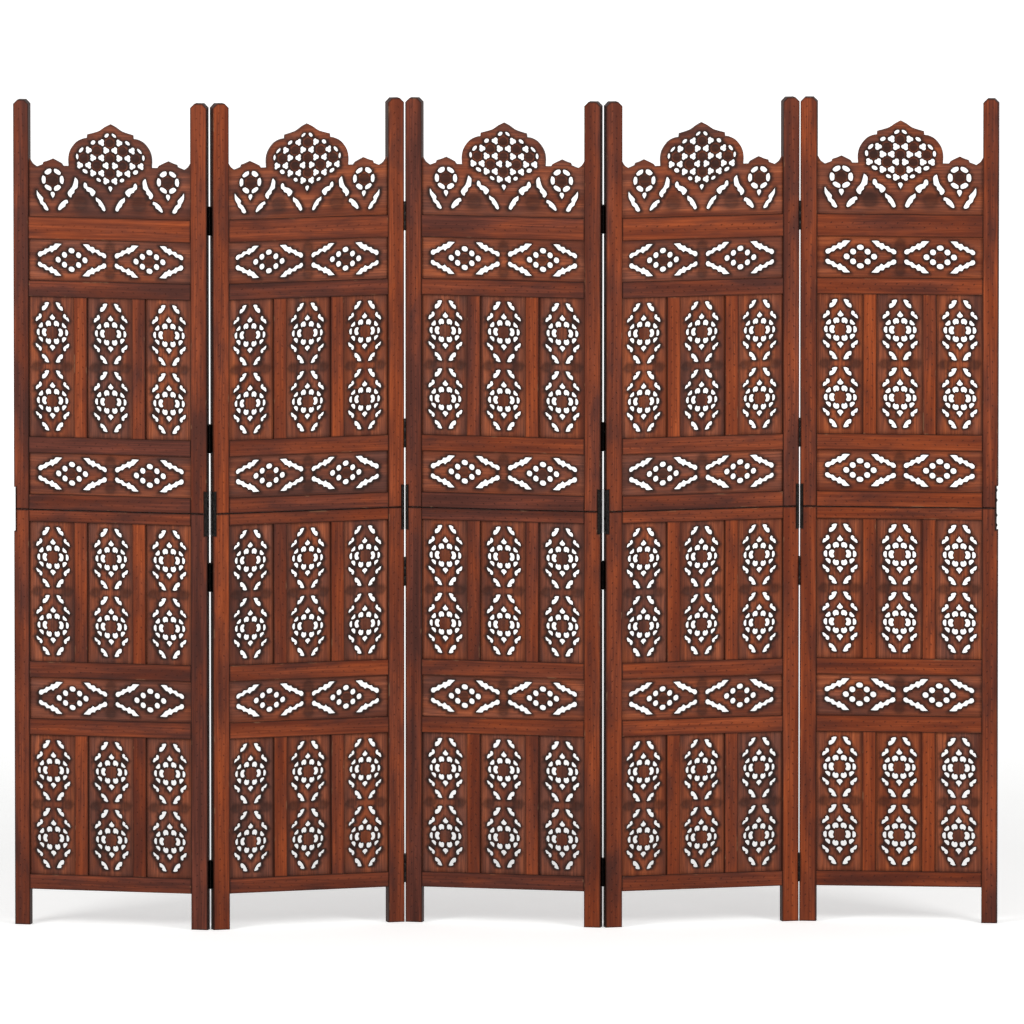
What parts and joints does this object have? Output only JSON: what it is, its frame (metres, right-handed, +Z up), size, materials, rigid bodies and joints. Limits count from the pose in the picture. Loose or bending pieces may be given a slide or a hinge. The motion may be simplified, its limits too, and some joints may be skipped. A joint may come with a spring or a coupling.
{
  "type": "folding screen",
  "caption": "Free-standing folding screen of reddish-brown wood: hinged frames hold pierced lattice and frieze boards under an ogee-domed crest.",
  "frame": {"origin": "on the floor, under the middle of the standing screen's outer box", "axes": "X runs along the screen to the viewer's right, -Y faces the viewer, Z is up"},
  "size_m": [1.9612, 0.1562, 1.65],
  "materials": {
    "carved_frame": "stained and waxed",
    "pierced_boards": "carved, stained and waxed",
    "blackened_iron": "black lacquer",
    "hinge_pins": "plain drawn wire"
  },
  "bodies": {
    "panel_1": {"panel_1_lower_stiles": "carved_frame", "panel_1_upper_stiles": "carved_frame", "panel_1_lower_rails": "carved_frame", "panel_1_upper_rails": "carved_frame", "panel_1_muntins": "carved_frame", "panel_1_lattices": "pierced_boards", "panel_1_friezes": "pierced_boards", "panel_1_crest": "pierced_boards", "panel_1_joint_plates": "blackened_iron", "hinge_1_turning_leaves": "blackened_iron"},
    "panel_2": {"panel_2_lower_stiles": "carved_frame", "panel_2_upper_stiles": "carved_frame", "panel_2_lower_rails": "carved_frame", "panel_2_upper_rails": "carved_frame", "panel_2_muntins": "carved_frame", "panel_2_lattices": "pierced_boards", "panel_2_friezes": "pierced_boards", "panel_2_crest": "pierced_boards", "panel_2_joint_plates": "blackened_iron", "hinge_1_pinned_leaves": "blackened_iron", "hinge_1_pins": "hinge_pins", "hinge_2_pinned_leaves": "blackened_iron", "hinge_2_pins": "hinge_pins"},
    "panel_3": {"panel_3_lower_stiles": "carved_frame", "panel_3_upper_stiles": "carved_frame", "panel_3_lower_rails": "carved_frame", "panel_3_upper_rails": "carved_frame", "panel_3_muntins": "carved_frame", "panel_3_lattices": "pierced_boards", "panel_3_friezes": "pierced_boards", "panel_3_crest": "pierced_boards", "panel_3_joint_plates": "blackened_iron", "hinge_2_turning_leaves": "blackened_iron", "hinge_3_turning_leaves": "blackened_iron"},
    "panel_4": {"panel_4_lower_stiles": "carved_frame", "panel_4_upper_stiles": "carved_frame", "panel_4_lower_rails": "carved_frame", "panel_4_upper_rails": "carved_frame", "panel_4_muntins": "carved_frame", "panel_4_lattices": "pierced_boards", "panel_4_friezes": "pierced_boards", "panel_4_crest": "pierced_boards", "panel_4_joint_plates": "blackened_iron", "hinge_3_pinned_leaves": "blackened_iron", "hinge_3_pins": "hinge_pins", "hinge_4_pinned_leaves": "blackened_iron", "hinge_4_pins": "hinge_pins"},
    "panel_5": {"panel_5_lower_stiles": "carved_frame", "panel_5_upper_stiles": "carved_frame", "panel_5_lower_rails": "carved_frame", "panel_5_upper_rails": "carved_frame", "panel_5_muntins": "carved_frame", "panel_5_lattices": "pierced_boards", "panel_5_friezes": "pierced_boards", "panel_5_crest": "pierced_boards", "panel_5_joint_plates": "blackened_iron", "hinge_4_turning_leaves": "blackened_iron"}
  },
  "joints": [
    {"name": "fold_2_3", "type": "hinge", "parent": "panel_3", "child": "panel_2", "pos_m": [-0.20177, 0.04096, 0.83275], "axis": [0, 0, 1], "range_deg": [-30, 144]},
    {"name": "fold_3_4", "type": "hinge", "parent": "panel_3", "child": "panel_4", "pos_m": [0.19177, -0.01976, 0.83275], "axis": [0, 0, 1], "range_deg": [-26.8, 147.2]},
    {"name": "fold_1_2", "type": "hinge", "parent": "panel_2", "child": "panel_1", "pos_m": [-0.58819, -0.05518, 0.83275], "axis": [0, 0, -1], "range_deg": [-30.5, 149.5]},
    {"name": "fold_4_5", "type": "hinge", "parent": "panel_4", "child": "panel_5", "pos_m": [0.58295, 0.05466, 0.83275], "axis": [0, 0, -1], "range_deg": [-19.7, 160.3]}
  ]
}
